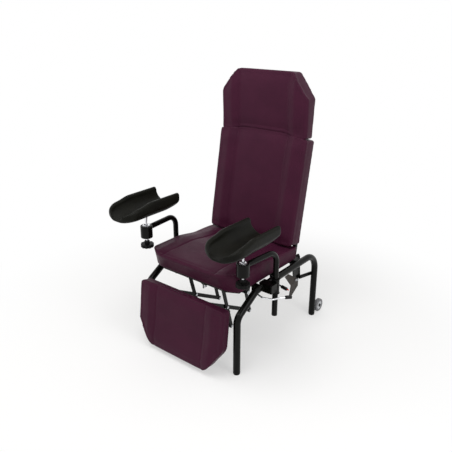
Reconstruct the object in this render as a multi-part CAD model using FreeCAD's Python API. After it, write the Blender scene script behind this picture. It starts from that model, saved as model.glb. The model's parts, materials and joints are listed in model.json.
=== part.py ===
import FreeCAD, Part
import math
import os
from FreeCAD import Vector

# Phlebotomy chair: two bent side frames carry the seat, a reclining back with a fixed headrest,
# a legrest on parallel bars, and two height-adjustable arms with moulded gutters on ball joints.
# Millimetres. X runs across the chair, +Y to the back, +Z up, the floor is at zero.
# The seated person's left side is +X. Y is counted from the front legs, then moved to the middle.

os.makedirs("parts", exist_ok=True)

# Clearances
running = 0.08
rest_gap = 0.3
loop_play = 0.5
rod_slip = 0.1
bond = 0.08

# Side frames
frame_gap = 1.5
tube_r = 17.5
tube_wall = 2.0
rear_leg_y = 700.0
knee_low_z = 301.6
knee_high_y = 145.5
rail_z = 386.5
knee_low_bend = 52.0
knee_high_bend = 80.0
rear_bend = 95.0
foot_height = 14.0
foot_round = 8.0
foot_stem = 30.0

# Cross tubes under the seat
cross_r = 12.5
cross_wall = 2.0
cross_z = 383.0
cross_front_y = 190.0
cross_mid_y = 345.0
cross_back_y = 525.0

# Seat
board_thick = 12.0
seat_half = 271.0
seat_front_y = 15.0
seat_back_y = 533.0
seat_chamfer_x = 64.0
seat_chamfer_y = 30.0
seat_corner = 24.0
seat_thick = 72.5
seat_hollow = 7.0
seat_bolster = 106.0
seat_rear_drop = 10.0
seat_rear_run = 138.0
seat_edge = 20.0
seat_board_inset = 14.0

# Back
back_lean = 10.2
back_front_y = 470.0
back_level_z = 480.0
back_side_step = 2.0
back_thick = 92.0
back_low = 20.0
back_high = 551.0
back_low_bow = 15.0
back_high_bow = 22.0
back_bolster = 111.0
back_hollow = 20.0
back_corner = 24.0
back_edge = 24.0
bolster_run = 46.0
pad_rear_edge = 6.0
pad_trim = 0.4
pad_draw = 3.0
pad_side_share = 0.7
bow_share = 0.45
board_margin = 24.0
bar_gap = 4.0
bar_wide = 20.0
bar_depth = 18.0
bar_top = 530.0
strap_depth = 5.0
strap_height = 30.0
strap_low = 70.0
strap_high = 290.0
back_torque_r = 12.5

# Headrest
head_lean = 3.9
head_front_y = 570.6
head_level_z = 1000.0
head_side_step = 7.0
head_thick = 72.0
head_low = 26.0
head_top = 341.0
head_chamfer_x = 95.0
head_shoulder = 217.0
head_hollow = 15.0
head_bolster = 110.0
head_stay_x = 150.0
head_stay_half = 15.0
head_stay_thick = 8.0
head_stay_low = 340.0
head_stay_bend = 545.0
head_stay_top = 235.0
head_strap_low = 90.0
head_strap_high = 200.0

# Legrest
leg_tilt = 6.6
leg_front_y = -69.0
leg_top_z = 353.0
leg_side_step = 4.0
leg_length = 318.0
leg_shoulder = 197.0
leg_chamfer_x = 88.0
leg_thick = 50.0
leg_hollow = 9.0
leg_bolster = 109.0
leg_corner = 26.0
leg_shoulder_bend = 60.0
leg_edge = 15.0
leg_board_margin = 10.0
bracket_top_drop = 30.0
bracket_low_drop = 226.0
bracket_flange = 22.0
bracket_flange_thick = 4.0

# Legrest linkage
link_thick = 6.0
link_half = 10.0
link_eye = 12.0
outer_link_x = 106.0
inner_link_x = 98.0
hanger_x = 114.0
hanger_thick = 6.0
hanger_half = 14.0
link_a_y = 118.0
link_a_z = 353.0
link_reach = 130.0
link_tail = 130.0
link_angle = 15.5
link_c_dy = 192.0
link_c_dz = -105.0
link_b_front = 159.0
link_torque_r = 11.0
link_stub_r = 6.0
link_pin_r = 4.0
link_rod_r = 6.0
link_rod_setback = 26.0
pin_head_r = 7.0
pin_head = 4.5
stub_head_r = 9.0

# Gas springs
spring_x = 36.0
spring_r = 14.0
spring_rod_r = 5.0
spring_neck_r = 6.0
spring_rod_in = 110.0
spring_end = 10.0
eye_half = 12.0
eye_thick = 8.0
crank_plate = 4.0
crank_gap = 11.0
crank_pin_r = 5.0
crank_half = 11.0
back_crank = 60.0
back_crank_angle = 32.5
leg_crank = 50.0
leg_crank_angle = 41.5
slot_play = 1.6
back_spring_front = 222.0
back_spring_back = 430.0
leg_spring_front = 252.0
leg_spring_back = 500.0
spring_lug_half = 5.0
spring_lug_back = 16.0
spring_lug_below = 12.0

# Back hinge plates and stays
hinge_plate_in = 46.0
hinge_plate_thick = 6.0
plate_corner = 5.0
hinge_plate_outline = (
    (512.0, 368.0), (512.0, 392.0), (545.0, 406.0), (592.0, 406.0), (605.0, 386.0),
    (618.0, 268.0), (612.0, 258.0), (556.0, 250.0), (546.0, 300.0), (540.0, 352.0),
)
stay_r = 10.0
stay_start = (-34.0, 600.0, 265.0)
stay_end = (-20.0, 700.0, 255.0)

# Folded guard on the near side
guard_thick = 3.0
guard_fold = 12.0
guard_upper = ((457.0, 321.0), (496.0, 322.0), (595.0, 254.0), (522.0, 243.0))
guard_lower = ((522.0, 243.0), (595.0, 254.0), (614.0, 201.0), (564.0, 152.0), (535.0, 173.0))
guard_bolts = ((566.0, 261.0), (584.0, 256.0))

# Transport wheels
wheel_out = 8.0
wheel_y = 756.0
wheel_z = 39.0
wheel_r = 37.0
wheel_half = 11.0
wheel_round = 5.0
wheel_hub_r = 24.0
wheel_hub_in = 1.5
wheel_axle_r = 5.0
wheel_boss_r = 9.0
wheel_plate_in = 13.0
wheel_plate_thick = 5.0
wheel_plate_outline = (
    (700.0, 45.0), (700.0, 95.0), (722.0, 95.0), (771.0, 50.0), (771.0, 28.0), (740.0, 28.0),
)

# Arms
post_out = 38.0
post_y = 252.0
post_r = 14.0
post_wall = 2.0
post_bottom_z = 224.0
post_cap = 4.0
cane_z = 566.0
cane_bend = 58.0
arm_reach = 234.0
arm_turn = 5.4
right_lift = 26.0
barrel_r = 30.5
barrel_low = 518.0
barrel_high = 582.0
barrel_round = 4.0
bush_wall = 3.0
bush_low = 342.7
bush_high = 420.0
bush_flange = 3.0
bush_flange_wide = 2.0
socket_wall = 2.4
socket_low = 346.0
socket_high = 416.7
block_front_y = 190.0
block_back_y = 238.0
block_low = 364.0
block_high = 406.5
block_in = 17.0
block_bolt_y = 213.0
block_bolt_r = 7.0
block_bolt_head = 5.0

# Ball joint and clamp knob of each arm
cup_r = 19.0
cup_low = 548.0
cup_high = 585.0
cup_mouth_r = 15.0
cup_throat_r = 9.5
cup_throat = 5.5
ball_r = 12.5
ball_z = 574.0
neck_r = 5.0
neck_z = 601.0
flange_r = 11.0
flange_z = 645.0
gutter_plate = 4.0
gutter_plate_half = 24.0
gutter_plate_front = 90.0
gutter_plate_back = 70.0
stud_r = 6.0
stud_top = 540.0
hub_r = 13.0
hub_high = 500.0
disc_r = 33.0
disc_high = 484.0
disc_low = 467.0
knob_lobes = 10
knob_dent_r = 7.0
knob_dent = 3.0

# Moulded arm gutters, measured from the ball: back and forward, and up from the underside
gutter_half = 95.0
gutter_back = 151.0
gutter_nose = 190.0
gutter_nose_run = 96.0
gutter_high = 89.0
gutter_floor = 21.0
gutter_lip = 39.0
gutter_lip_tip = 26.0
gutter_fall_start = -15.0
gutter_fall_end = -125.0
gutter_chin = 11.0
gutter_tail_rise = 7.0
gutter_tail_run = 70.0
gutter_wall_share = 0.26
gutter_flat_share = 0.36
gutter_cheek_share = 0.5
gutter_nose_power = 2.3
gutter_belly_share = 1.3
gutter_station_shares = (
    1.0, 0.85, 0.62, 0.42, 0.28, 0.13, -0.05, -0.22, -0.38, -0.54, -0.68, -0.8, -0.89, -0.955, -0.99,
)

# Release levers
lever_in = 40.0
lever_z = 344.0
lever_eye_r = 9.0
lever_eye_half = 5.5
lever_pin_r = 4.0
lever_rod_r = 4.5
lever_bend = 22.0
lug_thick = 4.0
lug_half = 12.0
lug_low_z = 332.0
curved_lever = ((6.0, 190.0, 331.0), (50.0, 214.0, 325.0), (64.0, 250.0, 323.0), (80.0, 275.0, 321.0))
curved_grip_end = (101.0, 305.0, 318.0)
straight_lever = ((-12.0, 345.0, 338.0), (16.0, 340.0, 333.0))
straight_grip_end = (54.0, 336.0, 330.0)
grip_r = 9.0
tip_length = 8.0
grip_round_share = 0.6
tip_share = 0.4

# Places across the chair, all counted from the seat's half width
frame_x = seat_half + frame_gap + tube_r
back_half = seat_half - back_side_step
head_half = back_half - head_side_step
head_top_half = head_half - head_chamfer_x
leg_half = seat_half - leg_side_step
leg_foot_half = leg_half - leg_chamfer_x
hinge_plate_x = frame_x - hinge_plate_in
bar_x = hinge_plate_x - bar_gap - bar_wide / 2
wheel_x = frame_x + wheel_out
wheel_plate_x = frame_x - wheel_plate_in
post_x = frame_x + post_out
block_inner_x = frame_x - block_in
lever_x = frame_x - lever_in

# Values that several pieces share
board_low = cross_z + cross_r
seat_top_z = board_low + board_thick + seat_thick
barrel_x = post_x - arm_reach * math.sin(math.radians(arm_turn))
barrel_y = post_y - arm_reach * math.cos(math.radians(arm_turn))
gutter_base_z = flange_z + gutter_plate
nose_reach = gutter_nose * gutter_station_shares[-1]
middle_y = (barrel_y + nose_reach + wheel_y + wheel_r) / 2
bar_front = back_thick + board_thick

# Linkage points in the Y-Z plane
hang = Vector(0, math.sin(math.radians(link_angle)), -math.cos(math.radians(link_angle)))
span = Vector(0, link_c_dy, link_c_dz)
span_unit = Vector(span)
span_unit.normalize()
point_a = Vector(0, link_a_y, link_a_z)
point_a1 = point_a + hang * link_reach
point_a2 = point_a1 + hang * link_tail
point_c = point_a + span
point_c1 = point_a1 + span
point_p = point_a1 - span_unit * link_b_front
point_q = point_a2 - span_unit * link_b_front


def save(name, shapes):
    compound = Part.makeCompound([shape.copy() for shape in shapes])
    compound.translate(Vector(0, -middle_y, 0))
    compound.exportStep("parts/" + name + ".step")


def mirrored(shape):
    return shape.mirror(Vector(), Vector(1, 0, 0))


def both(shape):
    return [shape, mirrored(shape)]


def across(x0, x1, y, z, radius):
    return Part.makeCylinder(radius, x1 - x0, Vector(x0, y, z), Vector(1, 0, 0))


def along_y(x, y0, y1, z, radius):
    return Part.makeCylinder(radius, y1 - y0, Vector(x, y0, z), Vector(0, 1, 0))


def upright(x, y, z0, z1, radius):
    return Part.makeCylinder(radius, z1 - z0, Vector(x, y, z0))


def box(low, high):
    size = Vector(*high) - Vector(*low)
    return Part.makeBox(size.x, size.y, size.z, Vector(*low))


def flat(points):
    corners = [Vector(*point) for point in points]
    return Part.Face(Part.makePolygon(corners + corners[:1]))


def sheet(outline, x0, thickness):
    return flat([(x0, y, z) for y, z in outline]).extrude(Vector(thickness, 0, 0))


def rounded_run(points, bends):
    edges = []
    last = points[0]
    for before, corner, after, bend in zip(points, points[1:], points[2:], bends):
        arriving = corner - before
        leaving = after - corner
        arriving.normalize()
        leaving.normalize()
        turn = arriving.getAngle(leaving)
        start = corner - arriving * bend * math.tan(turn / 2)
        end = corner + leaving * bend * math.tan(turn / 2)
        inward = leaving - arriving
        inward.normalize()
        middle = corner + inward * (bend / math.cos(turn / 2) - bend)
        edges.append(Part.makeLine(last, start))
        edges.append(Part.Arc(start, middle, end).toShape())
        last = end
    edges.append(Part.makeLine(last, points[-1]))
    return Part.Wire(edges)


def rounded_outline(points, bends):
    middle = (points[0] + points[-1]) / 2
    return Part.Face(rounded_run([middle] + points + [middle], bends))


def swept(path, radius):
    first = path.Edges[0]
    start = first.valueAt(first.FirstParameter)
    along = first.tangentAt(first.FirstParameter)
    ring = Part.Wire(Part.makeCircle(radius, start, along))
    return path.makePipeShell([ring], True, False)


def round_edges(shape, radius, wanted):
    edges = [edge for edge in shape.Edges if wanted(edge)]
    return shape.makeFillet(radius, edges)


def across_plate(edge):
    return edge.BoundBox.XLength > plate_corner / 2


def link_bar(x0, start, end, start_hole, end_hole):
    along = end - start
    along.normalize()
    side = Vector(0, -along.z, along.y) * link_half
    corners = [start + side, end + side, end - side, start - side]
    bar = flat([(x0, corner.y, corner.z) for corner in corners]).extrude(Vector(link_thick, 0, 0))
    bar = bar.fuse([across(x0, x0 + link_thick, eye.y, eye.z, link_eye) for eye in (start, end)])
    holes = [across(x0, x0 + link_thick, start.y, start.z, start_hole)]
    holes.append(across(x0, x0 + link_thick, end.y, end.z, end_hole))
    return bar.cut(holes).removeSplitter()


def cushion(profile, outline, side, length):
    # Three rounded outlines meet: the view from the end, from the front and from the side.
    end_view = [Vector(x, depth, -length) for x, depth in profile[0]]
    front_view = [Vector(x, -length, level) for x, level in outline[0]]
    side_view = [Vector(-length, depth, level) for depth, level in side[0]]
    body = rounded_outline(side_view, side[1]).extrude(Vector(2 * length, 0, 0))
    body = body.common(rounded_outline(front_view, outline[1]).extrude(Vector(0, 3 * length, 0)))
    return body.common(rounded_outline(end_view, profile[1]).extrude(Vector(0, 0, 3 * length)))


def panel_profile(half, thick, hollow, bolster, edge):
    panel = half - bolster
    knee = panel + bolster_run
    right = [(half - pad_draw, thick), (half, thick / 2), (half - pad_draw, 0), (knee, 0), (panel, hollow)]
    bends = [pad_rear_edge, thick * pad_side_share, edge, bolster_run, bolster_run / 2]
    points = right + [(-x, depth) for x, depth in reversed(right)]
    return points, bends + bends[::-1]


def leaned(shape, lean, front_y, level_z):
    turned = shape.copy()
    turned.rotate(Vector(), Vector(1, 0, 0), -lean)
    turned.translate(Vector(0, front_y, level_z))
    return turned


def leaned_point(depth, level, lean, front_y, level_z):
    angle = math.radians(lean)
    y = front_y + level * math.sin(angle) + depth * math.cos(angle)
    z = level_z + level * math.cos(angle) - depth * math.sin(angle)
    return Vector(0, y, z)


def upright_back(shape):
    return leaned(shape, back_lean, back_front_y, back_level_z)


def upright_head(shape):
    return leaned(shape, head_lean, head_front_y, head_level_z)


# Bent side frames and the plastic feet pushed into them
frame_path = [
    Vector(frame_x, 0, foot_height),
    Vector(frame_x, 0, knee_low_z),
    Vector(frame_x, knee_high_y, rail_z),
    Vector(frame_x, rear_leg_y, rail_z),
    Vector(frame_x, rear_leg_y, foot_height),
]
frame_run = rounded_run(frame_path, [knee_low_bend, knee_high_bend, rear_bend])
frame_outside = swept(frame_run, tube_r)
side_frame = frame_outside.cut(swept(frame_run, tube_r - tube_wall))
foot = Part.makeCylinder(tube_r, foot_height)
foot = round_edges(foot, foot_round, lambda edge: edge.BoundBox.ZMax < foot_height / 2 and edge.Closed)
foot = foot.fuse(Part.makeCylinder(tube_r - tube_wall, foot_height + foot_stem)).removeSplitter()
feet = []
for foot_y in (0, rear_leg_y):
    placed = foot.copy()
    placed.translate(Vector(frame_x, foot_y, 0))
    feet += both(placed)
save("side_frame_left", [side_frame])
save("side_frame_right", [mirrored(side_frame)])
save("foot_plugs", feet)

# Cross tubes, coped where they meet the side frames
cross_tubes = []
cross_solids = []
for cross_y in (cross_front_y, cross_mid_y, cross_back_y):
    solid = across(-frame_x, frame_x, cross_y, cross_z, cross_r)
    tube = solid.cut(across(-frame_x, frame_x, cross_y, cross_z, cross_r - cross_wall))
    for cope in both(frame_outside):
        tube = tube.cut(cope)
    cross_tubes.append(max(tube.Solids, key=lambda piece: piece.Volume))
    cross_solids.append(solid)
save("cross_tubes", cross_tubes)

# Seat board and seat cushion
seat_length = seat_back_y - seat_front_y
chamfer_x = seat_half - seat_chamfer_x
seat_outline = [
    (chamfer_x, 0), (seat_half, seat_chamfer_y), (seat_half, seat_length),
    (-seat_half, seat_length), (-seat_half, seat_chamfer_y), (-chamfer_x, 0),
]
seat_bends = [seat_corner * 3, seat_corner * 2, seat_corner, seat_corner, seat_corner * 2, seat_corner * 3]
seat_end = seat_length - pad_trim
seat_side = [
    (seat_thick, pad_trim), (0, pad_trim), (0, seat_length - seat_rear_run),
    (seat_rear_drop, seat_end), (seat_thick, seat_end),
]
seat_side_bends = [pad_rear_edge, seat_edge, seat_half, seat_edge, pad_rear_edge]
seat_profile = panel_profile(seat_half, seat_thick, seat_hollow, seat_bolster, seat_edge)
seat_pad = cushion(seat_profile, (seat_outline, seat_bends), (seat_side, seat_side_bends), seat_length)
seat_pad = leaned(seat_pad, 90, seat_front_y, seat_top_z)
inner_half = seat_half - seat_board_inset
inner_chamfer = chamfer_x - seat_board_inset / 2
board_front = seat_front_y + seat_board_inset
board_back = seat_back_y - seat_board_inset
board_outline = [
    (inner_chamfer, board_front, board_low), (inner_half, board_front + seat_chamfer_y, board_low),
    (inner_half, board_back, board_low), (-inner_half, board_back, board_low),
    (-inner_half, board_front + seat_chamfer_y, board_low), (-inner_chamfer, board_front, board_low),
]
save("seat_board", [flat(board_outline).extrude(Vector(0, 0, board_thick))])
save("seat_pad", [seat_pad])

# Backrest cushion, its board and the steel straps behind it
back_x = back_half * bow_share
back_outline = [
    (back_half, back_low), (back_half, back_high), (back_x, back_high + back_high_bow),
    (-back_x, back_high + back_high_bow), (-back_half, back_high), (-back_half, back_low),
    (-back_x, back_low - back_low_bow), (back_x, back_low - back_low_bow),
]
bow_bend = back_half
half_corner = back_corner / 2
back_bends = [back_corner, half_corner, bow_bend, bow_bend, half_corner, back_corner, bow_bend, bow_bend]
back_bottom = back_low - back_low_bow + pad_trim
back_top = back_high + back_high_bow - pad_trim
back_side = [(back_thick, back_bottom), (0, back_bottom), (0, back_top), (back_thick, back_top)]
back_side_bends = [back_edge, back_edge, pad_rear_edge * 2, pad_rear_edge]
back_profile = panel_profile(back_half, back_thick, back_hollow, back_bolster, back_edge)
back_pad = cushion(back_profile, (back_outline, back_bends), (back_side, back_side_bends), back_top)
back_board_half = back_half - board_margin
back_board_low = (-back_board_half, back_thick, back_low + board_margin)
back_board = box(back_board_low, (back_board_half, bar_front, back_high - board_margin))
bar_inner_x = bar_x - bar_wide / 2
straps = []
for level in (strap_low, strap_high):
    strap_end = (bar_inner_x, bar_front + strap_depth, level + strap_height)
    strap = box((-bar_inner_x, bar_front, level), strap_end)
    straps.append(upright_back(strap))
save("back_pad", [upright_back(back_pad)])
save("back_board", [upright_back(back_board)])

# Headrest cushion and board
head_x = head_half * bow_share
head_outline = [
    (head_half, head_low), (head_half, head_shoulder), (head_top_half, head_top),
    (-head_top_half, head_top), (-head_half, head_shoulder), (-head_half, head_low),
    (-head_x, head_low + back_high_bow), (head_x, head_low + back_high_bow),
]
head_bends = [half_corner] + [back_corner] * 4 + [half_corner, bow_bend, bow_bend]
head_start = head_low + pad_trim
head_end = head_top - pad_trim
head_side = [(head_thick, head_start), (0, head_start), (0, head_end), (head_thick, head_end)]
head_side_bends = [pad_rear_edge, pad_rear_edge * 2, back_edge, pad_rear_edge]
head_profile = panel_profile(head_half, head_thick, head_hollow, head_bolster, back_edge)
head_pad = cushion(head_profile, (head_outline, head_bends), (head_side, head_side_bends), head_top)
head_board_half = head_half - board_margin
head_board_top = head_top - board_margin
head_board_top_half = head_top_half - board_margin / 2
head_board_outline = [
    (head_board_half, head_low + board_margin), (head_board_half, head_shoulder),
    (head_board_top_half, head_board_top), (-head_board_top_half, head_board_top),
    (-head_board_half, head_shoulder), (-head_board_half, head_low + board_margin),
]
head_board = flat([(x, head_thick, level) for x, level in head_board_outline])
head_board = head_board.extrude(Vector(0, board_thick, 0))
save("head_pad", [upright_head(head_pad)])
save("head_board", [upright_head(head_board)])

# Back bars: steel tubes behind the board, from the recline pivot to the top of the back
pivot_depth = bar_front + bar_depth / 2
angle_back = math.radians(back_lean)
pivot_level = (rail_z - back_level_z + pivot_depth * math.sin(angle_back)) / math.cos(angle_back)
pivot = leaned_point(pivot_depth, pivot_level, back_lean, back_front_y, back_level_z)
back_bar_low = (bar_inner_x, bar_front, pivot_level)
back_bar = box(back_bar_low, (bar_inner_x + bar_wide, bar_front + bar_depth, bar_top))
back_bar = upright_back(back_bar)
torque_half = hinge_plate_x + hinge_plate_thick + rest_gap
torque_space = across(-torque_half, torque_half, pivot.y, pivot.z, back_torque_r)
save("back_bars", both(back_bar.cut(torque_space)))

# Head stays: flat steel bent once, from the back board up behind the head board
bend_front = leaned_point(bar_front, head_stay_bend, back_lean, back_front_y, back_level_z)
half_turn = math.radians(back_lean - head_lean) / 2
middle_lean = math.radians(head_lean) + half_turn
through_bend = Vector(0, math.cos(middle_lean), -math.sin(middle_lean))
bend_rear = bend_front + through_bend * (head_stay_thick / math.cos(half_turn))
angle_head = math.radians(head_lean)
bend_run = bend_front.y - head_front_y
bend_rise = bend_front.z - head_level_z
stay_front = bend_run * math.cos(angle_head) - bend_rise * math.sin(angle_head)
stay_corners = [
    leaned_point(bar_front, head_stay_low, back_lean, back_front_y, back_level_z),
    leaned_point(bar_front + head_stay_thick, head_stay_low, back_lean, back_front_y, back_level_z),
    bend_rear,
    leaned_point(stay_front + head_stay_thick, head_stay_top, head_lean, head_front_y, head_level_z),
    leaned_point(stay_front, head_stay_top, head_lean, head_front_y, head_level_z),
    bend_front,
]
stay_outline = [(corner.y, corner.z) for corner in stay_corners]
head_stay = sheet(stay_outline, head_stay_x - head_stay_half, 2 * head_stay_half)
save("head_stays", both(head_stay))
strap_half = head_stay_x + head_stay_half
for level in (head_strap_low, head_strap_high):
    strap_start = (-strap_half, head_thick + board_thick, level)
    strap = box(strap_start, (strap_half, stay_front, level + strap_height))
    straps.append(upright_head(strap))
save("back_straps", straps)

# Torque tube of the back with the crank that works the gas spring
def crank(centre, reach, angle, x):
    along = Vector(0, math.sin(math.radians(angle)), -math.cos(math.radians(angle)))
    pin = centre + along * reach
    side = Vector(0, -along.z, along.y) * crank_half
    cheeks = []
    for cheek_x in (x - crank_gap / 2 - crank_plate, x + crank_gap / 2):
        corners = [centre + side, pin + side, pin - side, centre - side]
        cheek = flat([(cheek_x, corner.y, corner.z) for corner in corners]).extrude(Vector(crank_plate, 0, 0))
        cheeks.append(cheek)
        cheeks.append(across(cheek_x, cheek_x + crank_plate, pin.y, pin.z, crank_half))
    reach_x = crank_gap / 2 + crank_plate
    cheeks.append(across(x - reach_x, x + reach_x, pin.y, pin.z, crank_pin_r))
    return cheeks, pin


back_cheeks, back_pin = crank(pivot, back_crank, back_crank_angle, spring_x)
back_torque = torque_space.fuse(back_cheeks)
save("back_torque_tube", [back_torque.removeSplitter()])

# Hinge plates of the back, hung on the rear cross tube, and the stays to the rear legs
hinge_plate = sheet(hinge_plate_outline, hinge_plate_x, hinge_plate_thick)
hinge_plate = round_edges(hinge_plate, plate_corner, across_plate)
guard_x = hinge_plate_x + hinge_plate_thick
hinge_bore = across(hinge_plate_x, guard_x, pivot.y, pivot.z, back_torque_r + running)
hinge_plate = hinge_plate.cut([hinge_bore, cross_solids[2]])
side_offset = Vector(frame_x, 0, 0)
stay_from = side_offset + Vector(*stay_start)
stay_along = side_offset + Vector(*stay_end) - stay_from
stay = Part.makeCylinder(stay_r, stay_along.Length, stay_from, stay_along)
stay = stay.cut([frame_outside, hinge_plate])
stay = max(stay.Solids, key=lambda piece: piece.Volume)
save("hinge_plates", both(hinge_plate))
save("rear_stays", both(stay))

# Folded guard plate bolted outside the near hinge plate
fold_start = Vector(guard_x + guard_thick / 2, *guard_lower[0])
fold_end = Vector(guard_x + guard_thick / 2, *guard_lower[1])
fold_line = fold_end - fold_start
upper = sheet(guard_upper, guard_x, guard_thick)
lower = sheet(guard_lower, guard_x, guard_thick)
lower.rotate(fold_start, fold_line, guard_fold)
fold = Part.makeCylinder(guard_thick / 2, fold_line.Length, fold_start, fold_line)
save("lever_guard", [upper.fuse([lower, fold]).removeSplitter()])

# Legrest cushion and its board
leg_foot = leg_length - leg_shoulder
leg_outline = [
    (leg_half, leg_length), (-leg_half, leg_length), (-leg_half, leg_foot),
    (-leg_foot_half, 0), (leg_foot_half, 0), (leg_half, leg_foot),
]
leg_bends = [leg_corner] * 2 + [leg_shoulder_bend] * 4
leg_end = leg_length - pad_trim
leg_side = [(leg_thick, pad_trim), (0, pad_trim), (0, leg_end), (leg_thick, leg_end)]
leg_side_bends = [pad_rear_edge, leg_edge, leg_edge, pad_rear_edge]
leg_profile = panel_profile(leg_half, leg_thick, leg_hollow, leg_bolster, leg_edge)
leg_pad = cushion(leg_profile, (leg_outline, leg_bends), (leg_side, leg_side_bends), leg_length)
leg_low_y = leg_front_y - leg_length * math.sin(math.radians(leg_tilt))
leg_low_z = leg_top_z - leg_length * math.cos(math.radians(leg_tilt))
board_leg_half = leg_half - leg_board_margin
board_foot_half = leg_foot_half - leg_board_margin
leg_board_outline = [
    (board_leg_half, leg_length - leg_board_margin), (-board_leg_half, leg_length - leg_board_margin),
    (-board_leg_half, leg_foot), (-board_foot_half, leg_board_margin),
    (board_foot_half, leg_board_margin), (board_leg_half, leg_foot),
]
leg_board = flat([(x, leg_thick, level) for x, level in leg_board_outline]).extrude(Vector(0, board_thick, 0))
save("legrest_pad", [leaned(leg_pad, leg_tilt, leg_low_y, leg_low_z)])
save("legrest_board", [leaned(leg_board, leg_tilt, leg_low_y, leg_low_z)])

# Brackets that join the legrest board to the linkage
bracket_depth = leg_thick + board_thick
bracket_top = leg_length - bracket_top_drop
bracket_low = leg_length - bracket_low_drop
outer_face_x = outer_link_x + link_thick
bracket_back = bracket_depth + bracket_flange_thick
bracket_web = [
    leaned_point(bracket_depth, bracket_low, leg_tilt, leg_low_y, leg_low_z),
    leaned_point(bracket_back, bracket_low, leg_tilt, leg_low_y, leg_low_z),
    point_q + Vector(0, link_half, -link_half),
    point_q + Vector(0, link_eye, link_half),
    point_p + Vector(0, link_eye, link_half / 2),
    leaned_point(bracket_back, bracket_top, leg_tilt, leg_low_y, leg_low_z),
    leaned_point(bracket_depth, bracket_top, leg_tilt, leg_low_y, leg_low_z),
]
web = sheet([(corner.y, corner.z) for corner in bracket_web], outer_link_x, link_thick)
web = web.fuse([across(outer_link_x, outer_face_x, eye.y, eye.z, link_eye) for eye in (point_p, point_q)])
flange_low = (outer_link_x, bracket_depth, bracket_low)
flange = box(flange_low, (outer_face_x + bracket_flange, bracket_back, bracket_top))
bracket = web.fuse(leaned(flange, leg_tilt, leg_low_y, leg_low_z))
pin_bore = across(outer_link_x, outer_face_x, point_p.y, point_p.z, link_pin_r + running)
loop_bore = across(outer_link_x, outer_face_x, point_q.y, point_q.z, link_pin_r + loop_play)
save("legrest_brackets", both(bracket.cut([pin_bore, loop_bore]).removeSplitter()))

# Link bars of the legrest, their torque tubes and rods
stub_reach = hanger_x + hanger_thick + rest_gap
leg_cheeks, leg_pin = crank(point_a, leg_crank, leg_crank_angle, -spring_x)
torque_a = across(-outer_link_x, outer_link_x, point_a.y, point_a.z, link_torque_r).fuse(leg_cheeks)
torque_c = across(-outer_link_x, outer_link_x, point_c.y, point_c.z, link_torque_r)
bar_a = link_bar(outer_link_x, point_a, point_a2, link_stub_r, link_pin_r)
bar_a = bar_a.cut(across(outer_link_x, outer_face_x, point_a1.y, point_a1.z, link_pin_r))
bar_b = link_bar(inner_link_x, point_p, point_c1, link_pin_r, link_pin_r + loop_play)
inner_face_x = inner_link_x + link_thick
bar_b = bar_b.cut(across(inner_link_x, inner_face_x, point_a1.y, point_a1.z, link_pin_r + running))
bar_c = link_bar(outer_link_x, point_c, point_c1, link_stub_r, link_pin_r)
bar_d = link_bar(inner_link_x, point_q, point_a2, link_pin_r, link_pin_r + running)
rod_b = point_p + span_unit * link_rod_setback
rod_d = point_q + span_unit * link_rod_setback
tie_b = across(-inner_link_x, inner_link_x, rod_b.y, rod_b.z, link_rod_r)
tie_d = across(-inner_link_x, inner_link_x, rod_d.y, rod_d.z, link_rod_r)
save("link_a", [torque_a.fuse(both(bar_a)).removeSplitter()])
save("link_b", [tie_b.fuse(both(bar_b)).removeSplitter()])
save("link_c", [torque_c.fuse(both(bar_c)).removeSplitter()])
save("link_d", [tie_d.fuse(both(bar_d)).removeSplitter()])


def outer_pin(point):
    # A pin fixed in the outer bar: head outside, collar behind the inner bar.
    inner_end = inner_link_x - rest_gap
    shank = across(inner_end - pin_head, outer_face_x, point.y, point.z, link_pin_r)
    head = across(outer_face_x, outer_face_x + pin_head, point.y, point.z, pin_head_r)
    collar = across(inner_end - pin_head, inner_end, point.y, point.z, pin_head_r)
    return shank.fuse([head, collar]).removeSplitter()


def inner_pin(point):
    # A pin fixed in the inner bar: head inside, collar outside the outer piece.
    outer_end = outer_face_x + rest_gap
    shank = across(inner_link_x, outer_end + pin_head, point.y, point.z, link_pin_r)
    head = across(inner_link_x - pin_head, inner_link_x, point.y, point.z, pin_head_r)
    collar = across(outer_end, outer_end + pin_head, point.y, point.z, pin_head_r)
    return shank.fuse([head, collar]).removeSplitter()


def stub_pin(point):
    shank = across(outer_link_x, stub_reach + pin_head, point.y, point.z, link_stub_r)
    head = across(stub_reach, stub_reach + pin_head, point.y, point.z, stub_head_r)
    return shank.fuse(head).removeSplitter()


save("link_a_pins", both(outer_pin(point_a1)) + both(outer_pin(point_a2)) + both(stub_pin(point_a)))
save("link_b_pins", both(inner_pin(point_p)))
save("link_c_pins", both(outer_pin(point_c1)) + both(stub_pin(point_c)))
save("link_d_pins", both(inner_pin(point_q)))

# Hanger plates between the cross tubes and the fixed linkage pivots
hanger_top = cross_z + cross_r / 2
hanger_under = cross_z - hanger_half
hanger_low = hanger_under - hanger_half
hanger_outline = [
    (point_a.y - hanger_half, point_a.z - hanger_half), (point_a.y - hanger_half, point_a.z + hanger_half),
    (cross_front_y - hanger_half, hanger_top), (cross_mid_y + hanger_half, hanger_top),
    (cross_mid_y + hanger_half, hanger_under), (point_c.y + hanger_half, point_c.z - hanger_half),
    (point_c.y - hanger_half, point_c.z - hanger_half), (point_c.y - hanger_half, hanger_low),
    (cross_front_y + hanger_half, hanger_low), (point_a.y + hanger_half, point_a.z - hanger_half),
]
hanger = sheet(hanger_outline, hanger_x, hanger_thick)
hanger = round_edges(hanger, plate_corner, across_plate)
hanger_holes = []
for point in (point_a, point_c):
    hanger_holes.append(across(hanger_x, hanger_x + hanger_thick, point.y, point.z, link_stub_r + running))
save("link_hangers", both(hanger.cut(hanger_holes + cross_solids)))


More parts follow.
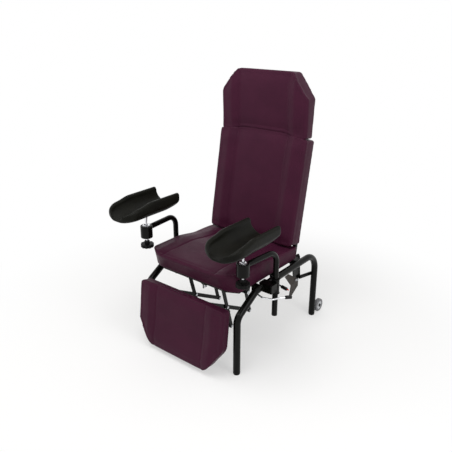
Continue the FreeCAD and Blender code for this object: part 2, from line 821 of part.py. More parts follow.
# Gas springs under the seat: cylinders fixed to the frame, rods with slotted ends
def spring_rod(x, y_mouth, direction, pin_y, z, slot_rise):
    near = pin_y - direction * eye_half
    inner_end = y_mouth - direction * spring_rod_in
    length = abs(near - inner_end)
    shaft = Part.makeCylinder(spring_rod_r, length, Vector(x, inner_end, z), Vector(0, direction, 0))
    slot_half = crank_pin_r + slot_play
    slot_z = slot_rise / 2 + slot_half
    eye_z = slot_z + eye_half - slot_half
    eye_low = (x - eye_thick / 2, pin_y - eye_half, z - eye_z)
    slot_low = (x - eye_thick, pin_y - slot_half, z - slot_z)
    eye = box(eye_low, (x + eye_thick / 2, pin_y + eye_half, z + eye_z))
    slot = box(slot_low, (x + eye_thick, pin_y + slot_half, z + slot_z))
    return shaft.fuse(eye.cut(slot)).removeSplitter()


def spring_cylinder(x, y0, y1, z, mouth):
    bore_start = y0 if mouth < 0 else y0 + spring_end
    bore = along_y(x, bore_start, bore_start + y1 - y0 - spring_end, z, spring_rod_r + rod_slip)
    return along_y(x, y0, y1, z, spring_r).cut(bore)


back_rise = back_crank * (1 - math.cos(math.radians(back_crank_angle)))
leg_rise = leg_crank * (1 - math.cos(math.radians(leg_crank_angle)))
back_spring_z = back_pin.z - back_rise / 2
leg_spring_z = leg_pin.z - leg_rise / 2
save("back_gas_rod", [spring_rod(spring_x, back_spring_back, 1, back_pin.y, back_spring_z, back_rise)])
save("leg_gas_rod", [spring_rod(-spring_x, leg_spring_front, -1, leg_pin.y, leg_spring_z, leg_rise)])
front_lug_y = cross_front_y + spring_lug_back
rear_lug_y = cross_back_y - spring_lug_back
back_neck = along_y(spring_x, front_lug_y, back_spring_front, back_spring_z, spring_neck_r)
leg_neck = along_y(-spring_x, leg_spring_back, rear_lug_y, leg_spring_z, spring_neck_r)
back_cylinder = spring_cylinder(spring_x, back_spring_front, back_spring_back, back_spring_z, 1)
leg_cylinder = spring_cylinder(-spring_x, leg_spring_front, leg_spring_back, leg_spring_z, -1)
save("back_gas_cylinder", [back_cylinder.fuse(back_neck)])
save("leg_gas_cylinder", [leg_cylinder.fuse(leg_neck)])

# Lugs welded under the cross tubes for the gas springs and the lever pins
lugs = []
spring_lugs = (
    (spring_x, cross_front_y, back_spring_z, cross_solids[0]),
    (-spring_x, cross_back_y, leg_spring_z, cross_solids[2]),
)
for lug_x, lug_y, lug_z, tube in spring_lugs:
    low = (lug_x - spring_lug_half, lug_y - spring_lug_back, lug_z - spring_lug_below)
    high = (lug_x + spring_lug_half, lug_y + spring_lug_back, cross_z)
    lugs.append(box(low, high).cut(tube).Solids[0])
pin_half = lever_eye_half + rest_gap + lug_thick
for lug_y, tube in ((cross_front_y, cross_solids[0]), (cross_mid_y, cross_solids[1])):
    pin = along_y(lever_x, lug_y - pin_half, lug_y + pin_half, lever_z, lever_pin_r)
    cheeks = []
    for cheek_y in (lug_y - pin_half, lug_y + pin_half - lug_thick):
        low = (lever_x - lug_half, cheek_y, lug_low_z)
        high = (lever_x + lug_half, cheek_y + lug_thick, cross_z)
        cheeks.append(box(low, high).cut(tube))
    lugs.append(pin.fuse(cheeks).removeSplitter())
save("cross_tube_lugs", lugs)


# Release levers with their grips
def lever(start_y, bends, points, grip_end):
    eye = along_y(lever_x, start_y - lever_eye_half, start_y + lever_eye_half, lever_z, lever_eye_r)
    path = [Vector(lever_x, start_y, lever_z)] + [side_offset + Vector(*point) for point in points]
    run = rounded_run(path, bends)
    past_eye = 2 * lever_eye_half
    hole = along_y(lever_x, start_y - past_eye, start_y + past_eye, lever_z, lever_pin_r + running)
    rod = swept(run, lever_rod_r).fuse(eye).cut(hole)
    grip_start = path[-1]
    along = side_offset + Vector(*grip_end) - grip_start
    grip = Part.makeCylinder(grip_r, along.Length, grip_start, along)
    grip = round_edges(grip, grip_r * grip_round_share, lambda edge: edge.Closed)
    rod = max(rod.cut(grip).Solids, key=lambda piece: piece.Volume).removeSplitter()
    return rod, grip, along


curved_rod, curved_grip, curved_along = lever(cross_front_y, [lever_bend] * 3, curved_lever, curved_grip_end)
straight = lever(cross_mid_y, [lever_bend], straight_lever, straight_grip_end)
straight_rod, straight_grip, straight_along = straight
tip_start = side_offset + Vector(*straight_grip_end)
tip = Part.makeCylinder(grip_r * tip_share, tip_length, tip_start, straight_along)
save("curved_lever_rod", [curved_rod])
save("curved_lever_grip", [curved_grip])
save("straight_lever_rod", [straight_rod])
save("straight_lever_grip", [straight_grip])
save("straight_lever_tip", [tip])

# Transport wheels behind the rear legs
wheel_plate = sheet(wheel_plate_outline, wheel_plate_x, wheel_plate_thick)
hub_in_x = wheel_x - wheel_half + wheel_hub_in
hub_out_x = wheel_x + wheel_half - wheel_hub_in
plate_out_x = wheel_plate_x + wheel_plate_thick
boss = across(plate_out_x, hub_in_x - rest_gap, wheel_y, wheel_z, wheel_boss_r)
axle_head_x = hub_out_x + rest_gap
axle = across(plate_out_x, axle_head_x, wheel_y, wheel_z, wheel_axle_r)
axle_head = across(axle_head_x, axle_head_x + pin_head, wheel_y, wheel_z, wheel_boss_r)
wheel_bracket = wheel_plate.cut(frame_outside).fuse([boss, axle, axle_head])
wheel_bracket = max(wheel_bracket.Solids, key=lambda piece: piece.Volume).removeSplitter()
hub = across(hub_in_x, hub_out_x, wheel_y, wheel_z, wheel_hub_r)
hub = hub.cut(across(hub_in_x, hub_out_x, wheel_y, wheel_z, wheel_axle_r + running))
tyre = across(wheel_x - wheel_half, wheel_x + wheel_half, wheel_y, wheel_z, wheel_r)
tyre = round_edges(tyre, wheel_round, lambda edge: edge.Closed)
tyre = tyre.cut(across(wheel_x - wheel_half, wheel_x + wheel_half, wheel_y, wheel_z, wheel_hub_r))
save("wheel_brackets", both(wheel_bracket))
save("wheel_hub_left", [hub])
save("wheel_hub_right", [mirrored(hub)])
save("wheel_tyre_left", [tyre])
save("wheel_tyre_right", [mirrored(tyre)])

# Arm sockets: a block on the side frame's rail with a sleeve outside it
bush_r = post_r + bush_wall
sleeve_r = bush_r + running + socket_wall
sleeve = upright(post_x, post_y, socket_low, socket_high, sleeve_r)
block = box((block_inner_x, block_front_y, block_low), (post_x + sleeve_r, block_back_y, block_high))
block = round_edges(block, plate_corner, lambda edge: edge.BoundBox.ZLength > (block_high - block_low) / 2)
socket = sleeve.fuse(block)
bush_space = upright(post_x, post_y, socket_low, socket_high, bush_r + running)
socket = socket.cut([frame_outside, cross_solids[0], bush_space])
socket = max(socket.Solids, key=lambda piece: piece.Volume).removeSplitter()
save("arm_sockets", both(socket))

# Bolts that show on the frame: under each arm socket and through the guard plate
bolts = both(upright(post_x, block_bolt_y, block_low - block_bolt_head, block_low, block_bolt_r))
for bolt_y, bolt_z in guard_bolts:
    bolts.append(across(guard_x + guard_thick, guard_x + guard_thick + pin_head, bolt_y, bolt_z, pin_head_r))
save("frame_bolts", bolts)

# Turning bushes in the sockets
bush = upright(post_x, post_y, bush_low, bush_high, bush_r)
collar_r = sleeve_r + bush_flange_wide
for collar_low in (bush_low, bush_high - bush_flange):
    bush = bush.fuse(upright(post_x, post_y, collar_low, collar_low + bush_flange, collar_r))
bush = bush.cut(upright(post_x, post_y, bush_low, bush_high, post_r + running)).removeSplitter()

# Arm tube: post, bend and top run, welded to the barrel that holds the gutter
post_foot = Vector(post_x, post_y, post_bottom_z)
post_corner = Vector(post_x, post_y, cane_z)
arm_run = rounded_run([post_foot, post_corner, Vector(barrel_x, barrel_y, cane_z)], [cane_bend])
arm_outside = swept(arm_run, post_r)
barrel_core = upright(barrel_x, barrel_y, barrel_low, barrel_high, barrel_r - post_wall)
arm_tube = arm_outside.cut([swept(arm_run, post_r - post_wall), barrel_core])
arm_tube = max(arm_tube.Solids, key=lambda piece: piece.Volume)
barrel = upright(barrel_x, barrel_y, barrel_low, barrel_high, barrel_r)
barrel = round_edges(barrel, barrel_round, lambda edge: edge.Closed)
barrel = barrel.cut(arm_outside.cut(barrel_core))
cup_space = upright(barrel_x, barrel_y, cup_low - rest_gap, cup_high, cup_r + running)
stud_space = upright(barrel_x, barrel_y, barrel_low, stud_top + rest_gap, stud_r + running)
barrel = barrel.cut([cup_space, stud_space])
barrel = max(barrel.Solids, key=lambda piece: piece.Volume)
cap = upright(post_x, post_y, post_bottom_z - post_cap, post_bottom_z, post_r)
arm = arm_tube.fuse([barrel, cap]).removeSplitter()

# Ball joint: cup in the barrel, chromed ball stud with the plate under the gutter
cup = upright(barrel_x, barrel_y, cup_low, cup_high, cup_r)
ball_centre = Vector(barrel_x, barrel_y, ball_z)
cup = cup.cut(Part.makeSphere(ball_r + running, ball_centre))
throat_z = ball_z + cup_throat
throat = Vector(barrel_x, barrel_y, throat_z)
cup = cup.cut(Part.makeCone(cup_throat_r, cup_mouth_r, cup_high - throat_z, throat))
ball_stud = Part.makeSphere(ball_r, ball_centre)
ball_stud = ball_stud.fuse(upright(barrel_x, barrel_y, ball_z, neck_z, neck_r))
neck_top = Vector(barrel_x, barrel_y, neck_z)
ball_stud = ball_stud.fuse(Part.makeCone(neck_r, flange_r, flange_z - neck_z, neck_top))
plate_low = (barrel_x - gutter_plate_half, barrel_y - gutter_plate_front, flange_z)
plate_high = (barrel_x + gutter_plate_half, barrel_y + gutter_plate_back, gutter_base_z - bond)
gutter_base = box(plate_low, plate_high)
gutter_base = round_edges(gutter_base, stud_r, lambda edge: edge.BoundBox.ZLength > gutter_plate / 2)
ball_stud = ball_stud.fuse(gutter_base).removeSplitter()


# Moulded gutter, lofted from the elbow end to the nose
def gutter_section(station):
    behind = station * (gutter_back if station > 0 else gutter_nose)
    fall = min(max((gutter_fall_start - behind) / (gutter_fall_start - gutter_fall_end), 0), 1)
    nose = max((gutter_nose_run - gutter_nose - behind) / gutter_nose_run, 0)
    tail = max((behind + gutter_tail_run - gutter_back) / gutter_tail_run, 0)
    settled = (1 - math.cos(math.pi * fall)) / 2
    lip = gutter_lip - (gutter_lip - gutter_lip_tip) * nose ** 2
    half = gutter_half * (1 - nose ** gutter_nose_power) ** (1 / gutter_nose_power)
    rim = gutter_high + (lip - gutter_high) * settled
    base = gutter_chin * nose ** 2 + gutter_tail_rise * tail ** 2
    floor = gutter_floor - (gutter_chin / 2) * nose ** 3
    y = barrel_y + behind
    inner = half * (1 - gutter_wall_share)
    flat_half = half * gutter_flat_share
    cheek = base + (rim - base) * gutter_cheek_share
    diagonal = math.sin(math.pi / 4)
    belly = base + (cheek - base) * (1 - diagonal) * gutter_belly_share
    belly_half = flat_half + (half - flat_half) * diagonal
    shoulder = rim - half * gutter_wall_share / 2
    rim_half = (inner + half) / 2
    edges = []

    def at(x, v):
        return Vector(barrel_x + x, y, gutter_base_z + v)

    def arc(first, through, last):
        edges.append(Part.Arc(at(*first), at(*through), at(*last)).toShape())

    arc((-inner, shoulder), (0, floor), (inner, shoulder))
    arc((inner, shoulder), (rim_half, rim), (half, shoulder))
    edges.append(Part.makeLine(at(half, shoulder), at(half, cheek)))
    arc((half, cheek), (belly_half, belly), (flat_half, base))
    edges.append(Part.makeLine(at(flat_half, base), at(-flat_half, base)))
    arc((-flat_half, base), (-belly_half, belly), (-half, cheek))
    edges.append(Part.makeLine(at(-half, cheek), at(-half, shoulder)))
    arc((-half, shoulder), (-rim_half, rim), (-inner, shoulder))
    return Part.Wire(edges)


gutter = Part.makeLoft([gutter_section(station) for station in gutter_station_shares], True, False)

# Clamp knob under the barrel
knob_stud = upright(barrel_x, barrel_y, disc_high, stud_top, stud_r)
knob = upright(barrel_x, barrel_y, disc_low, disc_high, disc_r)
dents = []
dent_reach = disc_r + knob_dent_r - knob_dent
for lobe in range(knob_lobes):
    angle = 2 * math.pi * lobe / knob_lobes
    dent_x = barrel_x + dent_reach * math.cos(angle)
    dent_y = barrel_y + dent_reach * math.sin(angle)
    dents.append(upright(dent_x, dent_y, disc_low, disc_high, knob_dent_r))
knob = knob.cut(dents)
knob = knob.fuse(upright(barrel_x, barrel_y, disc_low, hub_high, hub_r)).removeSplitter()
knob = knob.cut(upright(barrel_x, barrel_y, disc_high, hub_high, stud_r))

# Both arms: the right one is clamped higher in its bush
save("arm_bush_left", [bush])
save("arm_bush_right", [mirrored(bush)])
arm_pieces = {
    "arm_tube": arm,
    "gutter_cup": cup,
    "ball_stud": ball_stud,
    "gutter": gutter,
    "knob_stud": knob_stud,
    "clamp_knob": knob,
}
for name, shape in arm_pieces.items():
    save(name + "_left", [shape])
    raised = mirrored(shape)
    raised.translate(Vector(0, 0, right_lift))
    save(name + "_right", [raised])
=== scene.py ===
# %% [markdown]
# # Blood-sampling chair: dressing the assembled frame
# The frame is already made as exact solids: bent tubes, boards, link bars, pins, two arms with
# moulded gutters, and four upholstered pads. Here it gets what the eye expects: pads that
# swell under stretched vinyl, moulded skin on the gutters, gloss on the tubes, and daylight.
# First the frame is loaded. Everything sits where it was built, in metres, with the chair's
# front towards -Y and its left side towards +X.

# %% Load the frame
import bpy
import json
import math
import numpy
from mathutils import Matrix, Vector
from mathutils.kdtree import KDTree


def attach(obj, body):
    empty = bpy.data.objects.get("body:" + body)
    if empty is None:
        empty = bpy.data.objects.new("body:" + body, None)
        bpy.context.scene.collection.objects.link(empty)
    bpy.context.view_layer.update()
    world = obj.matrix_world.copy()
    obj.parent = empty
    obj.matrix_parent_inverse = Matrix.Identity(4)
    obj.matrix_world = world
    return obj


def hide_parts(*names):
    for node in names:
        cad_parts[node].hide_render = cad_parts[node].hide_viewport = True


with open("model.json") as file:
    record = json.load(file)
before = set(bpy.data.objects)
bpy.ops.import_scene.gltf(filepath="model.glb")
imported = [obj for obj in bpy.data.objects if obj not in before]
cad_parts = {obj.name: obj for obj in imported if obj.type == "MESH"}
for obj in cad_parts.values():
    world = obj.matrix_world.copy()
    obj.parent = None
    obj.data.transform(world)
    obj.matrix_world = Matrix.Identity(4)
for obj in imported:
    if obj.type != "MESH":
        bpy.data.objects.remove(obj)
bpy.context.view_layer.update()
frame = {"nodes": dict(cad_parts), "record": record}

# %% [markdown]
# ## Where the viewer stands
# The chair is seen from its front left, from a standing person's eye height and about 2.7
# metres from its middle. A camera is an empty eye with a lens. It is aimed along a line, not
# at a target: both its place and its line were worked out from the photo's straight edges.

# %% Camera
eye_lens_mm = 42.41
eye_place = (1.5705, -1.98537, 1.5974)
line_of_sight = Vector((-0.5822, 0.7241, -0.3697))

eye = bpy.data.cameras.new("eye")
eye.lens = eye_lens_mm
eye.sensor_width = 36.0
viewer = bpy.data.objects.new("viewer", eye)
bpy.context.scene.collection.objects.link(viewer)
viewer.location = eye_place
viewer.rotation_euler = line_of_sight.to_track_quat("-Z", "Y").to_euler()
bpy.context.scene.camera = viewer
print("viewer stands", round(viewer.location.length, 2), "m from the middle of the floor")

# %% [markdown]
# ## What the viewer's own rays see
# In a white studio the backdrop is plain white to the eye, and yet the light that it throws
# is soft and weaker. Both floor and room below use the same trick for that: they ask each ray
# whether it comes from the viewer, from something shiny or through something clear.

# %% Sort the rays
def maths(tree, operation, first, second):
    node = tree.nodes.new("ShaderNodeMath")
    node.operation = operation
    tree.links.new(first, node.inputs[0])
    tree.links.new(second, node.inputs[1])
    return node.outputs[0]


def plainly_seen(tree):
    # One for the viewer's own rays and for what shiny and clear things pass on, else nought.
    ray = tree.nodes.new("ShaderNodeLightPath")
    direct = maths(tree, "MAXIMUM", ray.outputs["Is Camera Ray"], ray.outputs["Is Glossy Ray"])
    return maths(tree, "MAXIMUM", direct, ray.outputs["Is Transmission Ray"])


# %% [markdown]
# ## Floor
# One large pale sheet lies under the feet, to carry a soft shadow and nothing else. It is
# real near the chair, and further out it fades into plain white as the viewer sees it, so
# that no horizon shows.

# %% Lay the floor
floor_half = 9.0
floor_pale = 0.95
fade_from = 0.75
fade_to = 1.7
least_white = 0.45

floor_mesh = bpy.data.meshes.new("floor_sheet")
corners = [(floor_half * x, floor_half * y, 0) for x, y in ((-1, -1), (1, -1), (1, 1), (-1, 1))]
floor_mesh.from_pydata(corners, [], [(0, 1, 2, 3)])
floor_sheet = bpy.data.objects.new("floor_sheet", floor_mesh)
bpy.context.scene.collection.objects.link(floor_sheet)

floor_finish = bpy.data.materials.new("pale_floor")
floor_finish.use_nodes = True
tree = floor_finish.node_tree
floor_shader = tree.nodes["Principled BSDF"]
floor_shader.inputs["Base Color"].default_value = (floor_pale, floor_pale, floor_pale, 1)
floor_shader.inputs["Roughness"].default_value = 0.9
floor_shader.inputs["Specular IOR Level"].default_value = 0.0
floor_mesh.materials.append(floor_finish)

reach = tree.nodes.new("ShaderNodeVectorMath")
reach.operation = "LENGTH"
tree.links.new(tree.nodes.new("ShaderNodeTexCoord").outputs["Object"], reach.inputs[0])
fade = tree.nodes.new("ShaderNodeMapRange")
fade.interpolation_type = "SMOOTHSTEP"
fade.inputs["From Min"].default_value = fade_from
fade.inputs["From Max"].default_value = fade_to
fade.inputs["To Min"].default_value = least_white
fade.inputs["To Max"].default_value = 1.0
tree.links.new(reach.outputs["Value"], fade.inputs["Value"])
plain_white = tree.nodes.new("ShaderNodeEmission")
plain_white.inputs["Strength"].default_value = 1.0
floor_mix = tree.nodes.new("ShaderNodeMixShader")
whiteness = maths(tree, "MULTIPLY", plainly_seen(tree), fade.outputs["Result"])
tree.links.new(whiteness, floor_mix.inputs["Fac"])
tree.links.new(floor_shader.outputs["BSDF"], floor_mix.inputs[1])
tree.links.new(plain_white.outputs["Emission"], floor_mix.inputs[2])
tree.links.new(floor_mix.outputs[0], tree.nodes["Material Output"].inputs["Surface"])
print("floor of", 2 * floor_half, "m fades to white between", fade_from, "and", fade_to, "m")

# %% [markdown]
# ## The white room
# The room is a white world. Its own light is kept apart from what is seen of it, so that it
# can be soft and slightly warm without washing the colours out.

# %% Light the room
room_light = 0.62
room_tint = (1, 0.99, 0.97, 1)

room = bpy.data.worlds.new("white_room")
bpy.context.scene.world = room
room.use_nodes = True
tree = room.node_tree
tree.nodes.clear()
white = tree.nodes.new("ShaderNodeBackground")
white.inputs["Color"].default_value = (1, 1, 1, 1)
white.inputs["Strength"].default_value = 1.0
soft = tree.nodes.new("ShaderNodeBackground")
soft.inputs["Color"].default_value = room_tint
soft.inputs["Strength"].default_value = room_light
choose = tree.nodes.new("ShaderNodeMixShader")
out = tree.nodes.new("ShaderNodeOutputWorld")
tree.links.new(plainly_seen(tree), choose.inputs["Fac"])
tree.links.new(soft.outputs[0], choose.inputs[1])
tree.links.new(white.outputs[0], choose.inputs[2])
tree.links.new(choose.outputs[0], out.inputs["Surface"])
bpy.context.scene.view_settings.view_transform = "Standard"
print("room is seen white and gives light of strength", room_light)

# %% [markdown]
# ## Three soft lamps
# Vinyl shows its shape through broad highlights, so the lamps are large panels, as softboxes
# are. The largest hangs above and in front; a second stands on the viewer's right and draws
# the pale line along the bolsters; a low, weak one keeps the far side from going black.

# %% Lamps
chest = Vector((0, 0, 0.6))


def softbox(name, place, width, height, watts):
    panel = bpy.data.lights.new(name, "AREA")
    panel.shape = "RECTANGLE"
    panel.size = width
    panel.size_y = height
    panel.energy = watts
    lamp = bpy.data.objects.new(name, panel)
    bpy.context.scene.collection.objects.link(lamp)
    lamp.location = place
    lamp.rotation_euler = (chest - lamp.location).to_track_quat("-Z", "Y").to_euler()
    print(name, watts, "W, size", width, "x", height)


softbox("overhead_panel", (0.2, -1.2, 3.2), 1.8, 1.8, 42)
softbox("right_panel", (2.6, -0.4, 1.9), 1.0, 1.6, 16)
softbox("left_panel", (-2.6, -1.6, 1.6), 1.6, 1.6, 12)

# %% [markdown]
# ## Mixing a finish
# Every finish here starts the same way: a Principled shader with one even tone set on its own
# sockets, and then small unevenness, because nothing real is perfectly even. The helpers below
# add a colour that wanders between two tones, and a bump made of fine noise or of small cells.
# All patterns are taken in the object's own coordinates, so they stay put when a piece moves.
# A noise seldom leaves the middle of its range, so only that part is spread over the tones.

# %% Helpers for finishes
pattern_low = 0.3
pattern_high = 0.7


def tone(red, green, blue):
    # Screen values from 0 to 255, as the shader's linear colour.
    linear = []
    for value in (red, green, blue):
        share = value / 255
        linear.append(share / 12.92 if share <= 0.04045 else ((share + 0.055) / 1.055) ** 2.4)
    return (*linear, 1)


class Finish:
    def __init__(self, name, roughness, metallic=0.0, specular=0.5):
        self.material = bpy.data.materials.new(name)
        self.material.use_nodes = True
        self.tree = self.material.node_tree
        self.shader = self.tree.nodes["Principled BSDF"]
        self.shader.inputs["Roughness"].default_value = roughness
        self.shader.inputs["Metallic"].default_value = metallic
        self.shader.inputs["Specular IOR Level"].default_value = specular
        self.place = self.tree.nodes.new("ShaderNodeTexCoord").outputs["Object"]
        self.height = None

    def noise(self, scale, detail=4.0, roughness=0.55, distortion=0.0):
        node = self.tree.nodes.new("ShaderNodeTexNoise")
        node.inputs["Scale"].default_value = scale
        node.inputs["Detail"].default_value = detail
        node.inputs["Roughness"].default_value = roughness
        node.inputs["Distortion"].default_value = distortion
        self.tree.links.new(self.place, node.inputs["Vector"])
        return node.outputs["Fac"]

    def cells(self, scale, randomness=1.0):
        node = self.tree.nodes.new("ShaderNodeTexVoronoi")
        node.feature = "SMOOTH_F1"
        node.inputs["Scale"].default_value = scale
        node.inputs["Randomness"].default_value = randomness
        self.tree.links.new(self.place, node.inputs["Vector"])
        return node.outputs["Distance"]

    def colour(self, source, dark, light):
        ramp = self.tree.nodes.new("ShaderNodeValToRGB")
        stops = ramp.color_ramp.elements
        stops[0].position, stops[0].color = pattern_low, dark
        stops[1].position, stops[1].color = pattern_high, light
        self.tree.links.new(source, ramp.inputs["Fac"])
        self.tree.links.new(ramp.outputs["Color"], self.shader.inputs["Base Color"])

    def sheen_spots(self, source, low, high):
        node = self.tree.nodes.new("ShaderNodeMapRange")
        node.inputs["From Min"].default_value = pattern_low
        node.inputs["From Max"].default_value = pattern_high
        node.inputs["To Min"].default_value = low
        node.inputs["To Max"].default_value = high
        self.tree.links.new(source, node.inputs["Value"])
        self.tree.links.new(node.outputs["Result"], self.shader.inputs["Roughness"])

    def bump(self, source, depth, strength=1.0):
        node = self.tree.nodes.new("ShaderNodeBump")
        node.inputs["Distance"].default_value = depth
        node.inputs["Strength"].default_value = strength
        self.tree.links.new(source, node.inputs["Height"])
        if self.height is not None:
            self.tree.links.new(self.height, node.inputs["Normal"])
        self.height = node.outputs["Normal"]
        self.tree.links.new(self.height, self.shader.inputs["Normal"])


# %% [markdown]
# ## Vinyl
# Clinic upholstery is a knitted cloth with a pressed skin of vinyl. Close up it has a leather
# grain of shallow cells under a millimetre wide; from further off it is an even aubergine with
# a soft sheen where it turns over an edge. Two layers of bump give the grain and the faint
# unevenness of stretched foam; the colour wanders a little, as dyed skins do.

# %% Vinyl finish
vinyl = Finish("aubergine_vinyl", 0.42, specular=0.08)
vinyl.colour(vinyl.noise(9.0, 5.0), tone(57, 21, 40), tone(63, 24, 44))
vinyl.sheen_spots(vinyl.noise(26.0, 3.0), 0.4, 0.5)
vinyl.bump(vinyl.noise(14.0, 3.0), 0.0035, 0.25)
vinyl.bump(vinyl.cells(950.0), 0.0004, 0.35)
print("mixed", vinyl.material.name)

# %% [markdown]
# ## Black finishes
# The tubes are powder-coated in gloss black, which levels into a faint orange peel. The
# gutters are moulded with a thick satin skin that is slightly pebbled. Knobs, feet and
# bushes are plain moulded plastic, a shade greyer and duller. The lever grips are dipped, so
# they shine more, and the one spot of colour is the red tip of the straight lever.

# %% Black and red finishes
epoxy = Finish("gloss_black_epoxy", 0.16, specular=0.13)
epoxy.colour(epoxy.noise(40.0, 3.0), tone(7, 7, 6), tone(12, 12, 10))
epoxy.sheen_spots(epoxy.noise(60.0, 2.0), 0.12, 0.2)
epoxy.bump(epoxy.noise(420.0, 2.0), 0.0003, 0.25)

gutter_skin = Finish("moulded_gutter_skin", 0.4, specular=0.08)
gutter_skin.colour(gutter_skin.noise(16.0, 4.0), tone(15, 15, 12), tone(20, 20, 15))
gutter_skin.sheen_spots(gutter_skin.noise(22.0, 3.0), 0.34, 0.46)
gutter_skin.bump(gutter_skin.noise(30.0, 3.0), 0.0012, 0.2)
gutter_skin.bump(gutter_skin.cells(700.0), 0.0003, 0.3)

black_plastic = Finish("black_moulded_plastic", 0.45, specular=0.1)
black_plastic.colour(black_plastic.noise(60.0), tone(14, 14, 14), tone(21, 21, 20))
black_plastic.bump(black_plastic.noise(900.0, 2.0), 0.0002, 0.4)

grip_plastic = Finish("dipped_grip_plastic", 0.28, specular=0.2)
grip_plastic.colour(grip_plastic.noise(80.0), tone(12, 12, 12), tone(18, 18, 18))
grip_plastic.bump(grip_plastic.noise(150.0, 2.0), 0.0004, 0.3)

red_plastic = Finish("red_button_plastic", 0.3, specular=0.5)
red_plastic.colour(red_plastic.noise(200.0), tone(170, 22, 14), tone(205, 36, 22))
dark_ones = (epoxy, gutter_skin, black_plastic, grip_plastic, red_plastic)
print("mixed", *(made.material.name for made in dark_ones))

# %% [markdown]
# ## Bright metal, paint, board and tyre
# Chrome takes its look from the room, so it needs only fine polishing marks. Zinc-plated
# pins are greyer, with crystals in the plating. The guard is painted brown over pressed
# steel. The boards are black-stained plywood with the grain running across.

# %% Metal, paint, board and tyre
chrome = Finish("polished_chrome", 0.1, metallic=1.0)
chrome.colour(chrome.noise(30.0), tone(214, 215, 218), tone(232, 233, 236))
chrome.sheen_spots(chrome.noise(90.0), 0.06, 0.14)

zinc = Finish("zinc_plate", 0.3, metallic=1.0)
zinc.colour(zinc.cells(260.0), tone(176, 178, 182), tone(214, 216, 220))
zinc.sheen_spots(zinc.noise(120.0), 0.24, 0.38)

brown_paint = Finish("brown_guard_paint", 0.4, specular=0.2)
brown_paint.colour(brown_paint.noise(40.0), tone(40, 33, 28), tone(48, 40, 34))
brown_paint.bump(brown_paint.noise(500.0, 2.0), 0.0003, 0.3)

cylinder_paint = Finish("gas_spring_paint", 0.3, specular=0.4)
cylinder_paint.colour(cylinder_paint.noise(50.0), tone(30, 31, 33), tone(40, 41, 43))
cylinder_paint.bump(cylinder_paint.noise(300.0, 2.0), 0.0002, 0.3)

board = Finish("black_plywood", 0.7, specular=0.25)
board.colour(board.noise(70.0, 8.0, 0.7, 0.6), tone(22, 20, 19), tone(40, 36, 33))
board.bump(board.noise(180.0, 6.0), 0.0006, 0.4)

tyre_rubber = Finish("grey_tyre_rubber", 0.65, specular=0.3)
tyre_rubber.colour(tyre_rubber.noise(90.0, 6.0), tone(104, 104, 107), tone(132, 132, 135))
tyre_rubber.bump(tyre_rubber.noise(500.0, 3.0), 0.0005, 0.4)

hub_plastic = Finish("grey_hub_plastic", 0.4, specular=0.45)
hub_plastic.colour(hub_plastic.noise(60.0), tone(186, 188, 192), tone(206, 208, 212))
hub_plastic.bump(hub_plastic.noise(700.0, 2.0), 0.0002, 0.3)
others = (chrome, zinc, brown_paint, cylinder_paint, board, tyre_rubber, hub_plastic)
print("mixed", *(made.material.name for made in others))

# %% [markdown]
# ## Painting the frame's own pieces
# The record of the frame lists a finish for each node, so one loop can dress them all. Pads
# and gutters are dressed with the rest here, and are replaced by softer pieces below.

# %% Dress the frame
finish_for = {
    "black_epoxy": epoxy,
    "vinyl": vinyl,
    "board": board,
    "foam_skin": gutter_skin,
    "black_plastic": black_plastic,
    "grip_plastic": grip_plastic,
    "red_plastic": red_plastic,
    "chromed_steel": chrome,
    "zinc_steel": zinc,
    "brown_paint": brown_paint,
    "grey_tyre": tyre_rubber,
    "grey_hub": hub_plastic,
    "cylinder_paint": cylinder_paint,
}
for subpart in frame["record"]["subparts"]:
    slots = frame["nodes"][subpart["node"]].data.materials
    slots.clear()
    slots.append(finish_for[subpart["material_slot"]].material)

# %% [markdown]
# ## Skins
# Soft pieces are not made from hard faces. A rough form, which for a pad is its solid, is
# wrapped in an even net of small squares: a voxel remesh does that, and it rounds every edge
# by about the size of a square, as foam and moulding do. The net is then free to be pushed
# about, and at the end it is made finer once and shaded smooth.

# %% Helpers for skins
def settle(piece):
    graph = bpy.context.evaluated_depsgraph_get()
    made = bpy.data.meshes.new_from_object(piece.evaluated_get(graph))
    piece.vertex_groups.clear()
    piece.modifiers.clear()
    piece.data = made
    return made


def wrap(piece, net_size):
    net = piece.modifiers.new("net", "REMESH")
    net.mode = "VOXEL"
    net.voxel_size = net_size
    settle(piece)
    print(piece.name, "net of", len(piece.data.vertices), "points")


def skin_of(node, name, net_size):
    piece = bpy.data.objects.new(name, frame["nodes"][node].data.copy())
    bpy.context.scene.collection.objects.link(piece)
    wrap(piece, net_size)
    return piece


def smooth_skin(piece, finish, rounds=0):
    if rounds:
        even = piece.modifiers.new("even", "SMOOTH")
        even.factor = 0.5
        even.iterations = rounds
    finer = piece.modifiers.new("finer", "SUBSURF")
    finer.levels = 1
    finer.render_levels = 1
    made = settle(piece)
    made.polygons.foreach_set("use_smooth", [True] * len(made.polygons))
    made.materials.clear()
    made.materials.append(finish.material)


def share_of(value, start, end):
    # From nought at the start to one at the end, easing in and out.
    share = min(max((value - start) / (end - start), 0.0), 1.0)
    return share * share * (3.0 - 2.0 * share)


# %% [markdown]
# ## Upholstered pads
# A clinic pad is a block of foam on a board, with a vinyl cover pulled over it and stapled
# behind. The foam pushes out and the cover holds it back, so every face is crowned and the
# edges stay where the cover is cut. A cloth simulation finds how far each spot can swell: a
# coarser net over the same form is drawn in a little and blown up with gentle pressure, with
# the back held flat on its board. Tight vinyl shows no ripples, so only the swell itself is
# kept, evened out between neighbouring points and handed to the nearest points of the pad.

# %% Blow up a cover
cloth_net = 0.013
cloth_pressure = 4.0
cloth_steps = 20
draw_in = 0.004
swell_face = 0.009
swell_side = 0.007
swell_end = 0.0008
even_rounds = 4
neighbours = 6
too_near = 0.002


